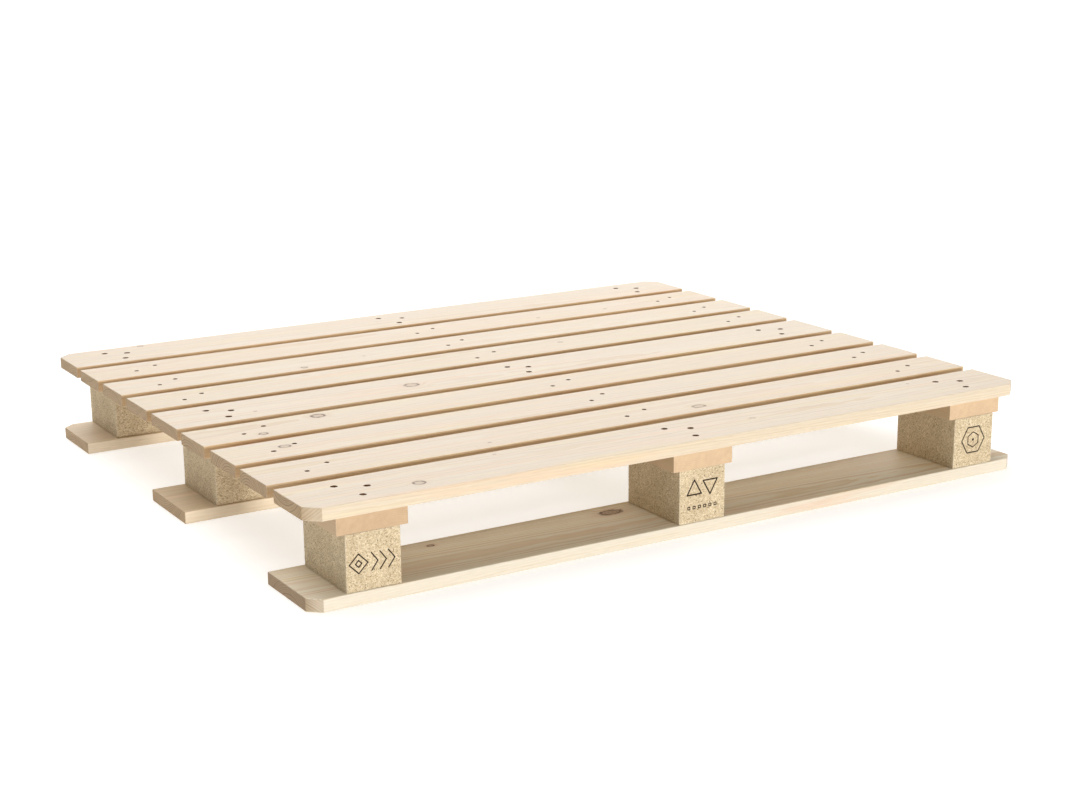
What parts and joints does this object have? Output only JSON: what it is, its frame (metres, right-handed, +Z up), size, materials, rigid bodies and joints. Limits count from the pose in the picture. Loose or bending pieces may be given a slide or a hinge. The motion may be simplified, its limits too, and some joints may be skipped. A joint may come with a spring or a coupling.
{
  "type": "wooden pallet",
  "caption": "Flat four-way wooden pallet: slatted softwood deck on cross stringers, pressed-chip blocks and flat bottom runners with cut corners, all nailed together.",
  "frame": {"origin": "centre of the footprint, on the floor under the bottom boards", "axes": "+X along the deck boards (1200 mm side), +Y across them towards the back (1000 mm side), +Z up"},
  "size_m": [1.2, 1, 0.138],
  "materials": {
    "deck_wood": "sawn pale softwood",
    "stringer_wood": "sawn pinkish softwood",
    "base_wood": "sawn softwood, floor side worn",
    "pressed_chip": "rough pressed wood chip",
    "nail_steel": "dark bare steel"
  },
  "bodies": {
    "root": {"deck_board_1": "deck_wood", "deck_board_2": "deck_wood", "deck_board_3": "deck_wood", "deck_board_4": "deck_wood", "deck_board_5": "deck_wood", "deck_board_6": "deck_wood", "deck_board_7": "deck_wood", "deck_board_8": "deck_wood", "deck_board_9": "deck_wood", "stringer_left": "stringer_wood", "stringer_middle": "stringer_wood", "stringer_right": "stringer_wood", "block_left_front": "pressed_chip", "block_left_centre": "pressed_chip", "block_left_back": "pressed_chip", "block_middle_front": "pressed_chip", "block_middle_centre": "pressed_chip", "block_middle_back": "pressed_chip", "block_right_front": "pressed_chip", "block_right_centre": "pressed_chip", "block_right_back": "pressed_chip", "bottom_board_front": "base_wood", "bottom_board_centre": "base_wood", "bottom_board_back": "base_wood", "block_nail_left_front": "nail_steel", "block_nail_left_centre": "nail_steel", "block_nail_left_back": "nail_steel", "block_nail_middle_front": "nail_steel", "block_nail_middle_centre": "nail_steel", "block_nail_middle_back": "nail_steel", "block_nail_right_front": "nail_steel", "block_nail_right_centre": "nail_steel", "block_nail_right_back": "nail_steel", "clinch_nail_left_2": "nail_steel", "clinch_nail_left_3": "nail_steel", "clinch_nail_left_4": "nail_steel", "clinch_nail_left_6": "nail_steel", "clinch_nail_left_7": "nail_steel", "clinch_nail_left_8": "nail_steel", "clinch_nail_middle_2": "nail_steel", "clinch_nail_middle_3": "nail_steel", "clinch_nail_middle_4": "nail_steel", "clinch_nail_middle_6": "nail_steel", "clinch_nail_middle_7": "nail_steel", "clinch_nail_middle_8": "nail_steel", "clinch_nail_right_2": "nail_steel", "clinch_nail_right_3": "nail_steel", "clinch_nail_right_4": "nail_steel", "clinch_nail_right_6": "nail_steel", "clinch_nail_right_7": "nail_steel", "clinch_nail_right_8": "nail_steel", "bottom_nail_left_front": "nail_steel", "bottom_nail_left_centre": "nail_steel", "bottom_nail_left_back": "nail_steel", "bottom_nail_middle_front": "nail_steel", "bottom_nail_middle_centre": "nail_steel", "bottom_nail_middle_back": "nail_steel", "bottom_nail_right_front": "nail_steel", "bottom_nail_right_centre": "nail_steel", "bottom_nail_right_back": "nail_steel"}
  },
  "joints": []
}
